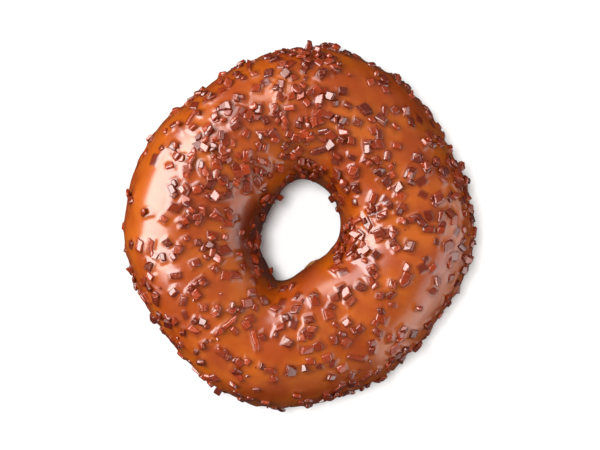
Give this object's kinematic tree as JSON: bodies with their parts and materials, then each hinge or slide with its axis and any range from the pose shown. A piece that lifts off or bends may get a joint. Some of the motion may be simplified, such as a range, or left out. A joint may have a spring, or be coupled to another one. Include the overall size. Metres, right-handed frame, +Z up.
{
  "type": "chocolate doughnut",
  "caption": "Ring doughnut of fried yeast dough with a flat base, dipped in glossy chocolate icing and strewn with chocolate flakes.",
  "frame": {"origin": "on the surface that the doughnut lies on, at the middle of its outline seen from above", "axes": "+Z up through the hole; +Y along the slightly longer way across; +X across it"},
  "size_m": [0.0931, 0.0958, 0.0346],
  "materials": {
    "dough": "soft matte fried crust, golden brown with a pale band",
    "icing": "glossy milk chocolate icing with darker chocolate flakes"
  },
  "bodies": {
    "root": {"dough_ring": "dough", "chocolate_icing": "icing"}
  },
  "joints": []
}
